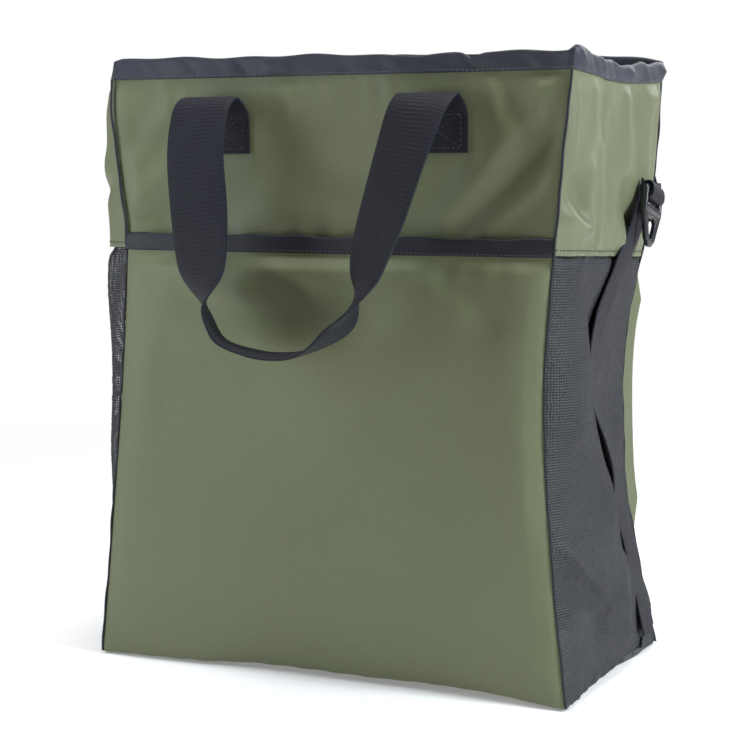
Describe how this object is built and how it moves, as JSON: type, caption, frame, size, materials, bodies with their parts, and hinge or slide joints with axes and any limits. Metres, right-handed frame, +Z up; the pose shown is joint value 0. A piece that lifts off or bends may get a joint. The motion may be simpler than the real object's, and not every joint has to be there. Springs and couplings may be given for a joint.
{
  "type": "fruit picking bag",
  "caption": "Open-topped soft cloth bag on a stiff base board, with a front pocket, mesh gussets, webbing carry handles and side straps with ladder locks.",
  "frame": {"origin": "middle of the underside of the base panel", "axes": "+Z up, the bag's longest side; the pocket side faces -Y; +X is to the right when the pocket side is looked at"},
  "size_m": [0.3432, 0.3142, 0.41],
  "materials": {
    "olive_cloth": "coated plain-weave polyester, soft sheen",
    "black_tape": "fine woven binding tape",
    "black_mesh": "open coated mesh",
    "black_webbing": "ribbed polypropylene webbing",
    "black_plastic": "moulded acetal, semi-gloss",
    "base_board": "extruded sheet, satin"
  },
  "bodies": {
    "bag": {"base_panel": "olive_cloth", "base_board": "base_board", "front_panel": "olive_cloth", "back_panel": "olive_cloth", "left_side_panel": "olive_cloth", "right_side_panel": "olive_cloth", "left_mesh_gusset": "black_mesh", "right_mesh_gusset": "black_mesh", "front_pocket": "olive_cloth", "pocket_binding": "black_tape", "rim_binding": "black_tape", "front_left_seam_binding": "black_tape", "front_right_seam_binding": "black_tape", "back_left_seam_binding": "black_tape", "back_right_seam_binding": "black_tape", "front_handle_left_end": "black_webbing", "front_handle_right_end": "black_webbing", "back_handle_left_end": "black_webbing", "back_handle_right_end": "black_webbing", "left_strap_anchor": "black_tape", "right_strap_anchor": "black_tape", "left_strap_top_end": "black_webbing", "right_strap_top_end": "black_webbing"},
    "front_handle": {"front_handle": "black_webbing"},
    "back_handle": {"back_handle": "black_webbing"},
    "right_strap": {"right_lower_strap": "black_webbing", "right_upper_strap": "black_webbing"},
    "left_strap": {"left_lower_strap": "black_webbing", "left_upper_strap": "black_webbing"},
    "right_lock": {"right_ladder_lock": "black_plastic"},
    "left_lock": {"left_ladder_lock": "black_plastic"}
  },
  "joints": [
    {"name": "front_handle_swing", "type": "hinge", "parent": "bag", "child": "front_handle", "pos_m": [0.003, -0.104, 0.372], "axis": [-1, 0, 0], "range_deg": [0, 165]},
    {"name": "back_handle_swing", "type": "hinge", "parent": "bag", "child": "back_handle", "pos_m": [0.003, 0.106, 0.372], "axis": [1, 0, 0], "range_deg": [0, 150]},
    {"name": "right_strap_swing", "type": "hinge", "parent": "bag", "child": "right_strap", "pos_m": [0.1668, 0.089, 0.0148], "axis": [-0.0103, 0.0158, 0.9998], "range_deg": [0, 120]},
    {"name": "left_strap_swing", "type": "hinge", "parent": "bag", "child": "left_strap", "pos_m": [-0.1668, 0.089, 0.0147], "axis": [-0.0595, -0.0158, -0.9981], "range_deg": [0, 120]},
    {"name": "right_lock_tilt", "type": "hinge", "parent": "right_strap", "child": "right_lock", "pos_m": [0.16715, 0.066, 0.313], "axis": [0, -0.9659, 0.2588], "range_deg": [0, 45]},
    {"name": "left_lock_tilt", "type": "hinge", "parent": "left_strap", "child": "left_lock", "pos_m": [-0.15784, 0.066, 0.313], "axis": [0, 0.9659, -0.2588], "range_deg": [0, 45]}
  ]
}
